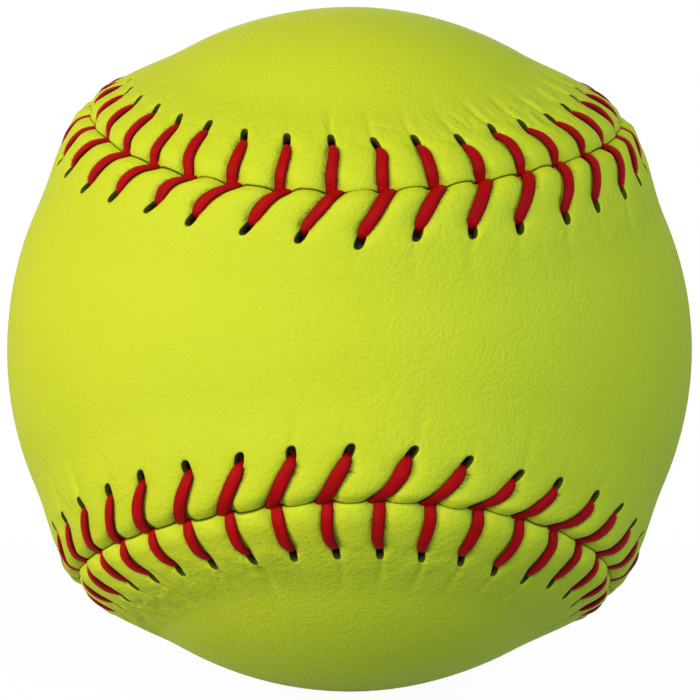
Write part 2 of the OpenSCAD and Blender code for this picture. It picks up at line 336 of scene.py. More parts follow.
    def strain(self, side, k):
        """How strongly the cover gathers, from 0 to 1: most on the back panel, where the
        panels' lobes end at the upper right and the lower left."""
        turns = 2 * TAU * (k / self.sizes.stitches - self.strain_share)
        most = np.clip(np.cos(turns), 0, 1) ** 2
        return (self.front_strain if side > 0 else 1) \
            * (self.least_strain + (1 - self.least_strain) * most)

    def furrow(self, side, k, x, d):
        """Depth of the crease that a tight stitch draws in the cover beyond its awl hole."""
        past = d - self.sizes.hole_mid - self.sizes.hole_half_l
        along = smooth(past / self.furrow_rise) * fade(past, self.furrow_rise, self.furrow_l)
        width = self.furrow_w + self.furrow_spread * np.maximum(past, 0)
        return self.own("furrow", side, k) * self.strain(side, k) * along * bell(x, 0, width)

    def pull(self, d):
        """How far the diving thread draws the cover's edge down under a stitch."""
        return self.pull_depth * fade(d, *self.pull_fade)

    def leg_half_w(self, side, d):
        """Half the width of a stitch along the seam, wider where it lies aslant, drawn in at
        its hole, and for a front stitch spread at the slit."""
        full = self.thread.leg_half_w * math.hypot(1, self.lean(side) / self.neck_d)
        shares = self.leg_shares + (self.front_extra if side > 0 else 0)
        return full * np.interp(d, self.leg_places * self.neck_d, shares)

    def offset(self, side, d):
        """How far a stitch's middle is off its track near the slit, where the front one leads."""
        return side * self.thread.dive_offset \
            * np.clip(1 - d / self.neck_d, 0, 1) ** self.offset_power

    def beside(self, side, x, d):
        """How far a point lies beyond the edge of its stitch."""
        return np.abs(x - self.offset(side, d)) - self.leg_half_w(side, d)

    def cover_height(self, side, k, x, d, away):
        """Height of the outer face: the ground and the pillow between two stitches, less the
        rounded lip. The pillow makes up the bed's depth and a bell in d, times 1 - (1 - t)^2.2,
        where t goes from 0 under a stitch's edge to 1 at its reach beside it."""
        # Near the slit the bed takes in both stitches, so that the two edges lie level
        beside = self.beside(side, x, d)
        both = np.abs(x) - self.leg_half_w(side, d) - self.thread.dive_offset
        beside = beside + (both - beside) * fade(d, *self.both_fade)
        reach = self.pillow_reach + self.reach_gain * smooth(d / self.reach_rise)
        t = np.clip((beside + self.pillow_inset) / reach, 0, 1)
        full = 1 - (1 - t) ** self.pillow_power * fade(d, *self.pillow_fade)
        swell = self.sizes.puff_h * bell(d, self.swell_mid, self.swell_w)
        # Pillows lie between the stitches, half a stitch on
        puff = self.eased("puff", side, k + x / self.seam.pitch + 0.5) * (self.bed(away) + swell)
        lip = self.edge_drop * np.clip(1 - d / self.edge_w, 0, 1) ** 2 \
            - (self.back_drop if side < 0 else 0) * fade(d, *self.lip_fade)
        return self.ground(away) + puff * full - self.pull(d) * (1 - full) - lip


# Meshes

def make_piece(name, form, material, slot, *nodes):
    """Makes a smooth-shaded piece in place on the ball from its form's points and faces, with
    the values or vectors that its material reads at each point. It may replace nodes."""
    points, faces, looks = form.build()
    mesh = bpy.data.meshes.new(name)
    mesh.from_pydata(points, [], faces)
    mesh.validate()
    mesh.polygons.foreach_set("use_smooth", np.ones(len(mesh.polygons), bool))
    mesh.materials.append(material)
    for look, values in looks.items():
        kind, key = ("FLOAT_VECTOR", "vector") if values.ndim > 1 else ("FLOAT", "value")
        layer = mesh.attributes.new(look, kind, "POINT")
        layer.data.foreach_set(key, np.ascontiguousarray(values, np.float32).ravel())
    piece = bpy.data.objects.new(name, mesh)
    bpy.context.scene.collection.objects.link(piece)
    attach(piece, "root")
    if nodes:
        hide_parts(*nodes)


def ring_faces(index):
    """Squares between neighbouring rings, whose points are numbered by the last two axes."""
    turned = np.roll(index, -1, axis=-1)
    return np.stack([index[..., :-1, :], index[..., 1:, :],
                     turned[..., 1:, :], turned[..., :-1, :]], axis=-1)


class PanelNet:
    """The net of one cover panel: rings of columns that follow the panel's edge.

    The rings run from the middle line under the panel, out to the slit, over the edge and
    back to the middle line on top. Columns follow the stitches' tracks. Round each awl hole
    the net's squares are rounded into ovals, and the squares inside are left out.
    """

    # Distances of the rings from the slit, before the holes and past them, on the outer face
    # and on the inner one, then shares of the way from there to the middle line
    near_rows = np.array([0, 0.1, 0.28, 0.55, 0.9, 1.3, 1.75, 2.2, 2.65, 3.1, 3.5, 3.85, 4.15,
                          4.43]) * MM
    far_rows = np.array([7, 7.4, 7.85, 8.4, 9.05, 9.9, 10.9, 12.1, 13.6]) * MM
    under_rows, under_far_rows = np.array([0, 1.9, 3.6]) * MM, np.array([8.4, 12.6]) * MM
    middle_shares = np.array([0.05, 0.11, 0.18, 0.255, 0.33, 0.41, 0.49, 0.57, 0.65, 0.73,
                              0.81, 0.88, 0.945])
    under_shares = np.array([0.3, 0.65])
    # Rings on the cut edge, as shares of its height, and the painted shade on its top
    edge_shares, edge_dark = np.array([0.45, 0.8]), 0.75
    # Rings in an awl hole: share of its depth, how far they are drawn in, and their painted shade
    wall_rings = ((0.04, 0.96, 0.85), (0.5, 0.62, 1))
    spine_reach = math.radians(110)
    # The ovals' power, how far round a hole they bend the net, in half holes, and a value
    # that keeps a division by zero away
    oval_power, warp_reach, tiny = 2.5, 1.4, 1e-9
    # The slit's least half gap, what it gains just ahead of the dive, and how far into the
    # panel the edge gives way to it
    least_gap, dive_gap, dive_ahead, dive_w = 0.01 * MM, 0.04 * MM, 0.3 * MM, 0.5 * MM
    gap_w = 1.2 * MM
    # The dent round a hole: its depth, then its width and start in half holes
    dent_depth, dent_w, dent_start = 0.07 * MM, 0.3, 0.9
    # How wide beside a stitch the painted shade reaches, and how far past its pinch, then from
    # where it is gathered
    tuck_w, tuck_past, tuck_fade = 0.45 * MM, 0.5 * MM, 0.6 * MM
    gather_start, gather_rise, gather_fade = 2 * MM, 3 * MM, (7.5 * MM, 5 * MM)
    # The moulded cover's waves: number, lengths in millimetres, height, and where they rise
    wave_count, wave_lengths, wave_h, wave_rise = 7, (13, 34), 0.016 * MM, (7 * MM, 5 * MM)

    def __init__(self, lacing, side):
        self.lacing, self.side = lacing, side
        seam, sizes = self.seam, self.sizes = lacing.seam, lacing.sizes
        self.count = sizes.stitches * COLUMNS
        shares = np.array(COLUMN_SHARES)
        beside = np.concatenate([-shares[:0:-1], shares[:-1]]) * seam.pitch / 2
        self.x = np.tile(beside, sizes.stitches)
        self.k = np.repeat(np.arange(sizes.stitches), COLUMNS)
        self.base_s = self.k * seam.pitch + self.x
        self.hole_rows = sizes.hole_mid + sizes.hole_half_l * np.linspace(-1, 1, HOLE_ROWS + 1)

    def warp(self, rows):
        """Columns and rows rounded into ovals at the awl holes, and the distance from the
        hole, which is 1 on its rim. A point of a square of half size m goes to a rounded
        oval of half size m, less and less so away from the hole."""
        sizes, power = self.sizes, self.oval_power
        x, d = np.broadcast_arrays(self.x[None, :], rows[:, None])
        hole_x = COLUMN_SHARES[HOLE_COLUMNS // 2] * self.seam.pitch / 2
        hx, hy = np.abs(x / hole_x), np.abs((d - sizes.hole_mid) / sizes.hole_half_l)
        m = np.maximum(hx, hy)
        rounded = m / np.maximum((hx ** power + hy ** power) ** (1 / power), self.tiny)
        pull = fade(m, 1, self.warp_reach)
        factor = 1 + pull * (rounded - 1)
        widen = 1 + pull * (sizes.hole_half_w / hole_x - 1)
        return x * factor * widen, sizes.hole_mid + (d - sizes.hole_mid) * factor, m

    def lay(self, rows, sink):
        """Points of the net at the given rows, sink below the outer face, with how much painted
        shade each gets beside a stitch and how far it is gathered in wrinkles."""
        lacing, side, pitch = self.lacing, self.side, self.seam.pitch
        x, d, m = self.warp(rows)
        s, _, _ = lacing.settle(side, self.k, x, d)

        # The slit: a hair's gap that opens just ahead of where the thread dives
        ahead = s - lacing.drift(self.k + x / pitch) - self.sizes.front_lean - self.dive_ahead
        ahead = ahead - np.round(ahead / pitch) * pitch
        gap = self.least_gap + self.dive_gap * bell(ahead, 0, self.dive_w)
        s, signed, away = lacing.settle(side, self.k, x, d,
                                        gap * np.clip(1 - d / self.gap_w, 0, 1) ** 2)
        if sink > 0:
            h = lacing.ground(away) - sink
        else:
            h = lacing.cover_height(side, self.k, x, d, away) \
                - self.dent_depth * bell(m, 1, self.dent_w) * (m > self.dent_start) \
                - lacing.furrow(side, self.k, x, d)
        tuck = fade(lacing.beside(side, x, d), 0, self.tuck_w) \
            * smooth((lacing.neck_d + self.tuck_past - d) / self.tuck_fade)
        gather = lacing.strain(side, self.k) * fade(d, *self.gather_fade) \
            * smooth((d - self.gather_start) / self.gather_rise)
        return s, signed, h, tuck, gather

    def middle(self, shares, foot, height):
        """Rows of the smooth middle: the way from the raised seam's foot to the middle line,
        brought back onto the ball."""
        to_foot = unit(foot)[None, :, :]
        way = shares[:, None, None]
        return unit(to_foot + (self.spine()[None, :, :] - to_foot) * way) \
            * (self.seam.radius + height)

    def spine(self):
        """The panel's middle line: a great circle, reached in step with the seam. The back
        panel's is the front one's, turned half round the line between x and z."""
        s = self.base_s if self.side > 0 else self.seam.length / 4 - self.base_s
        reach = self.spine_reach * np.sin(self.seam.angle(s))
        line = np.stack([np.sin(reach), -np.cos(reach), 0 * reach], axis=-1)
        return line if self.side > 0 else line @ np.array([[0, 0, 1], [0, -1, 0], [1, 0, 0]])

    def wave(self, points):
        """A faint unevenness of the moulded cover: a sum of sines through space."""
        draw, count = np.random.default_rng(SEED + 1), self.wave_count
        ways = unit(draw.normal(0, 1, (3, count)).T).T
        turns = ways * (TAU / (draw.uniform(*self.wave_lengths, count) * MM))
        waves = np.sin(points @ turns + draw.uniform(0, TAU, count))
        return waves.sum(axis=-1)[..., None] * self.wave_h

    def rings(self):
        """All rings in order, what the material reads at each point, and the rings where the
        holes start below and above."""
        place, cover_t = self.seam.place, self.sizes.cover_t
        under = np.concatenate([self.under_rows, self.hole_rows, self.under_far_rows])
        over = np.concatenate([self.near_rows, self.hole_rows, self.far_rows])
        low = place(*self.lay(under, cover_t)[:3])
        s, d, h, tuck, gather = self.lay(over, 0)
        high = place(s, d, h)
        rise = 1 - fade(np.abs(d), *self.wave_rise)
        high = high + unit(high) * self.wave(high) * rise[..., None]
        wall = low[0] + (high[0] - low[0]) * self.edge_shares[:, None, None]
        low_middle = self.middle(self.under_shares, low[-1], -cover_t)
        high_middle = self.middle(self.middle_shares, high[-1], 0)
        high_middle = high_middle + unit(high_middle) * self.wave(high_middle)
        points = np.concatenate([low_middle[::-1], low[::-1], wall, high, high_middle])

        hidden = len(low_middle) + len(low) + len(wall)
        looks = {name: np.zeros(points.shape[:2]) for name in ("tuck", "gather", "depth")}
        looks["tuck"][hidden:hidden + len(over)] = tuck
        looks["gather"][hidden:hidden + len(over)] = gather
        # Painted shade: full on the underside and the cut edge, less on the outer face's first ring
        # at the slit
        looks["depth"][:hidden] = 1
        looks["depth"][hidden] = self.edge_dark
        return (points, looks, len(low_middle) + len(self.under_far_rows),
                hidden + len(self.near_rows))

    def hole_rims(self, index, low_hole, high_hole):
        """Numbers of the points round each awl hole, on the outer face and the inner one."""
        up, across = np.arange(HOLE_ROWS + 1), np.arange(HOLE_COLUMNS + 1)
        rows = np.concatenate([up, 0 * across[1:] + HOLE_ROWS, up[-2::-1], 0 * across[1:-1]])
        cols = np.concatenate([0 * up, across[1:], 0 * up[1:] + HOLE_COLUMNS, across[-2:0:-1]])
        cols = cols + np.arange(self.sizes.stitches)[:, None] * COLUMNS + HOLE_START
        return index[high_hole + rows, cols], index[low_hole + HOLE_ROWS - rows, cols]

    def hole_loops(self, flat, top, bottom):
        """The points round each awl hole's wall between its rims, which narrow half-way down,
        towards the thread at the hole's inner end."""
        # The rim's side towards the slit, where the thread comes up
        inner = np.r_[0, 2 * HOLE_ROWS + HOLE_COLUMNS:top.shape[1]]
        centre, deep = ((flat[rim].mean(axis=1, keepdims=True)
                         + flat[rim[:, inner]].mean(axis=1, keepdims=True)) / 2
                        for rim in (top, bottom))
        loops = []
        for way, inset, _ in self.wall_rings:
            middle = centre + (deep - centre) * way
            level = flat[top] + (flat[bottom] - flat[top]) * way
            loops.append((middle + (level - middle) * inset).reshape(-1, 3))
        return loops

    def fold(self):
        """Where both halves of the panel meet on its middle line: one column for each place
        there, and the place that each column comes to."""
        column = np.arange(self.count)
        turning = self.sizes.stitches // 2 if self.side > 0 else 0
        mirror = (COLUMNS * (turning + 1) - column) % self.count
        return np.unique(np.minimum(column, mirror), return_inverse=True)

    def build(self):
        """Points and faces of the whole closed panel, and what its material reads."""
        points, looks, low_hole, high_hole = self.rings()
        flat = points.reshape(-1, 3)
        index = np.arange(len(flat)).reshape(points.shape[:2])

        # Squares between rings, less those inside the awl holes
        keep = np.ones((len(points) - 1, self.count), bool)
        inside = (np.arange(self.count) % COLUMNS - HOLE_START) // HOLE_COLUMNS == 0
        for start in (low_hole, high_hole):
            keep[start:start + HOLE_ROWS, inside] = False
        squares = ring_faces(index)[keep]

        # Walls of the awl holes, from the outer face's rim to the inner one's
        top, bottom = self.hole_rims(index, low_hole, high_hole)
        loops = self.hole_loops(flat, top, bottom)
        numbers = len(flat) + np.arange(len(loops) * top.size).reshape(-1, *top.shape)
        wall = np.stack([top, *numbers, bottom], axis=1)
        walls = ring_faces(wall)[..., [0, 3, 2, 1]].reshape(-1, 4)

        # The middle line, above and below
        pair, spot = self.fold()
        spine = self.spine()[pair]
        above = spine * self.seam.radius
        above = above + spine * self.wave(above)
        below = spine * (self.seam.radius - self.sizes.cover_t)
        on_top = len(flat) + len(loops) * top.size + spot
        lids = ring_faces(np.stack([np.stack([index[-1], on_top]),
                                    np.stack([on_top + len(pair), index[0]])]))

        faces = np.concatenate([squares, walls, lids.reshape(-1, 4)])
        if self.side < 0:
            faces = faces[:, ::-1]
        extra = [*loops, above, below]
        # The hole walls get the full painted shade beside a stitch and their rings' painted shade;
        # the middle line gets none on top and full painted shade underneath
        added = {"tuck": (1, 1, 0, 0), "gather": (0, 0, 0, 0),
                 "depth": (*(dark for _, _, dark in self.wall_rings), 0, 1)}
        used = np.unique(faces)
        for name, values in added.items():
            tails = [np.full(len(part), value) for part, value in zip(extra, values)]
            looks[name] = np.concatenate([looks[name].ravel(), *tails])[used]
        everything = np.concatenate([flat, *extra])
        renumber = np.zeros(len(everything), int)
        renumber[used] = np.arange(len(used))
        return everything[used], renumber[faces].tolist(), looks


def spline(controls, steps):
    """A smooth line through the controls, with so many steps from each to the next: the
    cubic whose slope at a control is half the way between its neighbours."""
    padded = np.concatenate([controls[:1], controls, controls[-1:]])
    p0, p1, p2, p3 = (padded[i:len(padded) - 3 + i][:, None, :] for i in range(4))
    t = (np.arange(steps) / steps)[None, :, None]
    line = 0.5 * (2 * p1 + (p2 - p0) * t + (2 * p0 - 5 * p1 + 4 * p2 - p3) * t ** 2
                  + (3 * p1 - p0 - 3 * p2 + p3) * t ** 3)
    return np.concatenate([line.reshape(-1, controls.shape[1]), controls[-1:]])


class Strand:
    """One thread strand: a flattened tube that comes up through a hole, lies over the raised
    seam, dives into the slit and runs under the other panel to that panel's next hole."""

    # Points round the strand, rings from one place to the next, and the cross-section's power
    round_count, steps, oblong_power = 28, 2, 2.2
    # The plies, their furrows' share of the thickness, and the length of one full twist
    plies, ply_furrow, twist_l = 3, 0.03, 9 * MM
    # Under the panel and up through the hole: shares of the way along the seam and of the
    # pinch's distance, then millimetres of height, half width and half thickness
    under = np.array([[0.3, 0.3, -0.95, 0.38, 0.25], [0.7, 0.7, -1.08, 0.38, 0.26],
                      [1, 0.94, -1.12, 0.4, 0.27], [1, 0.995, -0.78, 0.42, 0.29],
                      [1, 1.006, -0.1, 0.46, 0.31], [1, 1.008, 0.45, 0.48, 0.33]])
    # Over the raised seam, from the hole to the slit: shares of the pinch's distance, height
    # over the ground, shares of the thickness, and shifts along the seam
    leg_shares = np.array([0.98, 0.92, 0.825, 0.7, 0.56, 0.42, 0.28, 0.155, 0.068])
    leg_rise = np.array([0.05, 0.16, 0.25, 0.3, 0.32, 0.33, 0.34, 0.34, 0.3]) * MM
    thick_shares = np.array([1.06, 1.08, 1.05, 1, 1, 1, 1, 1, 0.97])
    shoulder = np.array([0.06, 0.1, 0.14, 0.14, 0.09, 0.04, 0, 0, 0]) * MM
    # Down into the slit: along the seam, from the slit, height, half width and thickness
    dip = np.array([[0.05, 0, 0.75, 0.68, 0.26], [0.15, -0.03, 0.25, 0.5, 0.22],
                    [0.25, -0.06, -0.4, 0.38, 0.24]]) * MM
    # How far from the slit a side's stitch dives, how far it is sunk there, and over what
    # distances from the slit that wears off
    crosses, cross_w = {1: -0.06 * MM, -1: 0.2 * MM}, 1.2 * MM
    sinks, sink_w = {1: 0, -1: 0.1 * MM}, 1.5 * MM

    def __init__(self, lacing, number):
        self.seam, self.lacing, self.number = lacing.seam, lacing, number

    def table(self, way, k):
        """Places along the stitches k of one side as s, d, h, half width and half thickness:
        the run under the panel, the way up through the hole, the bow over the raised seam,
        and the dive."""
        lacing, thread = self.lacing, self.lacing.thread
        neck, pitch = lacing.neck_d, self.seam.pitch
        j = k[:, None]
        one = np.ones(j.shape)
        cross = self.crosses[way]
        hole, _, _ = lacing.settle(way, j, 0, neck)
        lean = lacing.sizes.front_lean
        dive = j * pitch + lacing.drift(j) + lean
        last = (j - 1) * pitch + lacing.drift(j - 1) + lean - way * thread.dive_offset
        along, out = self.under[:, 0], self.under[:, 1]
        under = np.stack(
            [last + (hole - last) * along,
             one * out * neck + lacing.own("hole_d", way, j) * (along == 1)]
            + [one * column * MM for column in self.under[:, 2:].T], axis=-1)

        leg_d = self.leg_shares * neck
        leg_s, _, leg_out = lacing.settle(way, j, 0, leg_d)
        leg_h = lacing.ground(leg_d) - lacing.pull(leg_d) + self.leg_rise \
            - self.sinks[way] * smooth(1 - leg_d / self.sink_w)
        leg = np.stack([leg_s + lacing.offset(way, leg_d) + self.shoulder,
                        leg_out + cross * smooth(1 - leg_d / self.cross_w),
                        one * leg_h
                        + lacing.own("lift", way, j) * np.sin(math.pi * self.leg_shares),
                        lacing.leg_half_w(way, leg_d) * lacing.own("width", way, j),
                        one * thread.leg_half_t * self.thick_shares], axis=-1)

        dip = one[..., None] * self.dip
        dip[:, :, 0] = dive + way * (thread.dive_offset + self.dip[:, 0])
        dip[:, :, 1] += cross
        table = np.concatenate([under, leg, dip], axis=1)
        table[:, :, 1] *= way
        return table

    def controls(self):
        """Places along the whole strand, whose stitches go to the front and the back in turn."""
        k = np.arange(self.seam.sizes.stitches)
        front = (k + self.number) % 2 == 0
        places = len(self.under) + len(self.leg_shares) + len(self.dip)
        full = np.zeros((len(k), places, self.dip.shape[1]))
        for way, here in ((1, front), (-1, ~front)):
            full[here] = self.table(way, k[here])
        full = full.reshape(-1, full.shape[-1])
        end = full[:1] + [self.seam.length, 0, 0, 0, 0]
        return np.concatenate([full[1:], end])

    def build(self):
        """Rings across the line. A ring's width lies along the seam, and its thickness square
        to the way, as a rounded oblong with shallow furrows between the plies."""
        s, d, h, half_w, half_t = spline(self.controls(), self.steps).T
        d = d + self.lacing.stray(s, d)
        way = unit(np.gradient(np.stack([d, h], axis=-1), axis=0))
        step = np.linalg.norm(np.diff(np.stack([s, d, h], axis=-1), axis=0), axis=1)
        run = np.concatenate([[0], np.cumsum(step)])[:, None]
        turn = np.arange(self.round_count) / self.round_count * TAU
        x, y = (np.sign(wave) * np.abs(wave) ** (2 / self.oblong_power)
                for wave in (np.cos(turn), np.sin(turn)))
        furrow = np.cos(TAU * (x * self.plies / 2 + run / self.twist_l)) * (1 - x ** 4)
        across = half_w[:, None] * x
        thick = half_t[:, None] * y * (1 + self.ply_furrow * furrow)
        points = self.seam.place(s[:, None] + across, d[:, None] - way[:, 1:] * thick,
                                 h[:, None] + way[:, :1] * thick)

        index = np.arange(across.size).reshape(across.shape)
        faces = ring_faces(index)[..., [0, 3, 2, 1]].reshape(-1, 4).tolist()
        faces += [index[0, ::-1].tolist(), index[-1].tolist()]
        lay = np.stack(np.broadcast_arrays(across, run, x), axis=-1)
        return points.reshape(-1, 3), faces, {"lay": lay}


class Fuzz:
    """Loose fibres at the stitches' edges: bent, tapering, three-sided hairs that lie on the
    pillows, most of them near the awl holes."""

    rings, corners, hairs_per_stitch = 4, 3, 11
    # How even the stitches' shares of the hairs are
    evenness = 5
    # Where hairs start, as shares of the way to the hole and of the stitch's half width
    start_share, start_range, start_power, root_share = 0.1, 0.86, 0.6, 0.93
    # Their shortest and longest, how far their ends lift, and how far they keep off the cover
    lengths, lifts, clearance = (0.15 * MM, 0.6 * MM), (0.02 * MM, 0.3 * MM), 0.03 * MM
    angle, angle_spread, turn_spread = 0.3, 0.5, 0.5
    radius, taper = 0.024 * MM, 0.7

    def __init__(self, lacing):
        self.seam, self.lacing = lacing.seam, lacing

    def middle_lines(self):
        """The hairs' middle lines. A hair leaves its stitch's edge at an angle a and turns
        evenly, so at the share t of its length it has gone t l cos(a + b t) along the seam
        and t l sin(a + b t) out from the slit."""
        lacing, stitches = self.lacing, self.seam.sizes.stitches
        draw = np.random.default_rng(SEED + 2)
        t = np.linspace(0, 1, self.rings)
        n = stitches * self.hairs_per_stitch
        lines = []
        for side in (1, -1):
            odds = draw.dirichlet(np.full(stitches, self.evenness))
            k = draw.choice(stitches, n, p=odds)[:, None]
            start = (self.start_share + self.start_range
                     * draw.uniform(0, 1, (n, 1)) ** self.start_power) * lacing.neck_d
            edge = draw.choice([-1, 1], n)[:, None]
            hair = draw.uniform(*self.lengths, (n, 1)) * t
            angle = draw.normal(self.angle, self.angle_spread, (n, 1)) \
                + draw.normal(0, self.turn_spread, (n, 1)) * t
            lift = draw.uniform(*self.lifts, (n, 1)) * t
            x = lacing.offset(side, start) \
                + edge * (self.root_share * lacing.leg_half_w(side, start) + hair * np.cos(angle))
            d = start + hair * np.sin(angle)
            s, signed, away = lacing.settle(side, k, x, d)
            h = lacing.cover_height(side, k, x, d, away) + self.clearance + lift
            lines.append(self.seam.place(s, signed, h))
        return np.concatenate(lines)

    def build(self):
        """Tubes round the lines: a ring's corners lie on a circle square to the line."""
        lines = self.middle_lines()
        ahead = unit(np.gradient(lines, axis=1))
        aside = unit(np.cross(ahead, lines))
        up = np.cross(aside, ahead)
        turn = (np.arange(self.corners) / self.corners * TAU)[:, None]
        radius = self.radius * (1 - self.taper * np.linspace(0, 1, self.rings))
        ring = aside[:, :, None] * np.cos(turn) + up[:, :, None] * np.sin(turn)
        points = lines[:, :, None] + radius[:, None, None] * ring
        index = np.arange(points[..., 0].size).reshape(points.shape[:3])
        faces = ring_faces(index).reshape(-1, 4).tolist()
        faces += index[:, 0].tolist() + index[:, -1, ::-1].tolist()
        return points.reshape(-1, 3), faces, {}


# Materials

def add_node(tree, kind, sockets=(), **settings):
    """Adds a node of type ShaderNode + kind, with its settings. Its sockets are filled with
    values or linked, and a node given for a socket is linked from its first output."""
    node = tree.nodes.new("ShaderNode" + kind)
    for name, value in settings.items():
        setattr(node, name, value)
    for name, value in dict(sockets).items():
        if isinstance(value, bpy.types.Node):
            value = value.outputs[0]
        if isinstance(value, bpy.types.NodeSocket):
            tree.links.new(value, node.inputs[name])
        else:
            node.inputs[name].default_value = value
    return node


def new_material(recipe, *colour):
    """A material with the recipe's name, whose surface it builds in the colour given."""
    material = bpy.data.materials.new(recipe.__name__)
    material.use_nodes = True
    tree = material.node_tree
    tree.nodes.clear()
    add_node(tree, "OutputMaterial", {"Surface": recipe(tree, *colour)})
    return material


def shown_rays(tree):
    """1 for the rays that show the background as such: camera, glossy and transmission."""
    path = add_node(tree, "LightPath").outputs
    shown = path["Is Camera Ray"]
    for other in ("Is Glossy Ray", "Is Transmission Ray"):
        shown = add_node(tree, "Math", {0: shown, 1: path[other]}, operation="MAXIMUM")
    return shown


def optic_yellow_synthetic_leather(tree, colour):
    """Optic-yellow synthetic leather, embossed: a fine pebble grain, a soft satin gloss that
    breaks up in the grain, a slight blotchiness and a few small dark specks. Painted shade
    darkens it to olive beside a stitch, in the awl holes, on the slit's cut edge and
    underneath, and it crumples where it is gathered."""
    place = add_node(tree, "TexCoord").outputs["Object"]
    # The attributes give the painted shade beside a stitch, the painted shade in the holes, on the
    # cut edge and underneath, and how far the cover is gathered
    tuck, depth, gather = (add_node(tree, "Attribute", attribute_name=name).outputs["Fac"]
                           for name in ("tuck", "depth", "gather"))
    blotch = add_node(tree, "TexNoise", {
        "Vector": place, "Scale": 1 / (14 * MM), "Detail": 3, "Roughness": 0.5})
    # The real grain is about 0.35 mm from pebble to pebble, and is drawn a little coarser
    pebble = add_node(tree, "TexVoronoi", {
        "Vector": place, "Scale": 1 / (0.42 * MM), "Smoothness": 0.6}, feature="SMOOTH_F1")
    wrinkle = add_node(tree, "TexNoise", {
        "Vector": place, "Scale": 1 / (1.5 * MM), "Detail": 4, "Roughness": 0.6, "Distortion": 0.8})
    crumple = add_node(tree, "TexNoise", {
        "Vector": place, "Scale": 1 / (2.6 * MM), "Detail": 2, "Roughness": 0.4, "Distortion": 0.6})
    # Small dark specks scattered over the cover
    pore = add_node(tree, "TexVoronoi", {"Vector": place, "Scale": 1 / (8 * MM)})
    pore_share = add_node(tree, "MapRange", {
        "Value": pore, "From Min": 0.008, "From Max": 0.015, "To Min": 0.6, "To Max": 0})
    soft_tuck = add_node(tree, "Math", {0: tuck, 1: 0.5}, operation="MULTIPLY")
    base = colour
    # Random blotches, painted shade beside the stitches, small dark specks, then painted shade in
    # the holes, on the cut edge and underneath
    for over_share, over in ((blotch, "#CAD722"), (soft_tuck, "#727E22"),
                             (pore_share, "#4C5A14"), (depth, "#322C0C")):
        base = add_node(tree, "Mix", {SHARE: over_share, BELOW: base, ABOVE: linear(over)},
                        data_type="RGBA").outputs[MIXED]
    shine = add_node(tree, "MapRange", {
        "Value": wrinkle, "From Min": 0.3, "From Max": 0.7, "To Min": 0.6, "To Max": 0.72})
    grain = add_node(tree, "Bump", {
        "Height": pebble, "Strength": 0.65, "Distance": 0.11 * MM}, invert=True)
    crease = add_node(tree, "Bump", {
        "Height": wrinkle, "Strength": 0.3, "Distance": 0.12 * MM, "Normal": grain})
    height = add_node(tree, "Math", {0: crumple, 1: gather}, operation="MULTIPLY")
    gathered = add_node(tree, "Bump", {
        "Height": height, "Strength": 0.8, "Distance": 1.6 * MM, "Normal": crease})
    return add_node(tree, "BsdfPrincipled", {
        "Base Color": base, "Roughness": shine, "Normal": gathered,
        "IOR": 1.47, "Specular IOR Level": 0.18})


def red_waxed_thread(tree, colour):
    """Red multi-ply thread, waxed: fine fibres along its length, darker streaks along its
    length, painted shade at its edges, and a dull waxy gloss."""
    lay = add_node(tree, "Attribute", attribute_name="lay").outputs["Vector"]
    # Fibres are finer than this on the real thread, and are drawn 0.16 mm apart to show
    fibre_place = add_node(tree, "Mapping", {
        "Vector": lay, "Scale": (1 / (0.16 * MM), 1 / (2.6 * MM), 0)})
    fibre = add_node(tree, "TexNoise", {
        "Vector": fibre_place, "Scale": 1, "Detail": 3, "Roughness": 0.6})
    streak_place = add_node(tree, "Mapping", {
        "Vector": lay, "Scale": (1 / (0.55 * MM), 1 / (4.5 * MM), 0)})
    streak = add_node(tree, "TexNoise", {"Vector": streak_place, "Scale": 1, "Detail": 2})
    # Painted shade, from 0 in the strand's middle to 0.8 at its edges: 0.8 |x|^3
    across = add_node(tree, "SeparateXYZ", {0: lay}).outputs["Z"]
    edge = add_node(tree, "Math", {0: across}, operation="ABSOLUTE")
    edge = add_node(tree, "Math", {0: edge, 1: 3}, operation="POWER")
    edge = add_node(tree, "Math", {0: edge, 1: 0.8}, operation="MULTIPLY")
    bare = add_node(tree, "MapRange", {
        "Value": fibre, "From Min": 0.35, "From Max": 0.65, "To Min": 1, "To Max": 0})
    dull = add_node(tree, "MapRange", {
        "Value": streak, "From Min": 0.42, "From Max": 0.62, "To Min": 0.35, "To Max": 0})
    base = colour
    # Fibres left bare and dull streaks, then painted shade at the edges
    for over_share, over in ((bare, "#A00705"), (dull, "#960708"), (edge, "#560502")):
        base = add_node(tree, "Mix", {SHARE: over_share, BELOW: base, ABOVE: linear(over)},
                        data_type="RGBA").outputs[MIXED]
    bump = add_node(tree, "Bump", {"Height": fibre, "Strength": 0.45, "Distance": 0.07 * MM})
    return add_node(tree, "BsdfPrincipled", {
        "Base Color": base, "Normal": bump, "Roughness": 0.6, "IOR": 1.45,
        "Specular IOR Level": 0.08})


def frayed_thread_fibre(tree, colour):
    """Single fibres frayed from the thread: matt, and browner in random patches of painted shade.
    """
    place = add_node(tree, "TexCoord").outputs["Object"]
    worn = add_node(tree, "TexNoise", {"Vector": place, "Scale": 1 / (1.2 * MM)})
    worn_share = add_node(tree, "MapRange", {"Value": worn, "From Min": 0.2, "From Max": 0.5})
    # Painted shade: random patches mixed towards dark brown
    base = add_node(tree, "Mix", {SHARE: worn_share, BELOW: colour, ABOVE: linear("#4A3A14")},
                    data_type="RGBA").outputs[MIXED]
    return add_node(tree, "BsdfPrincipled", {
        "Base Color": base, "Roughness": 0.75, "Specular IOR Level": 0.1})


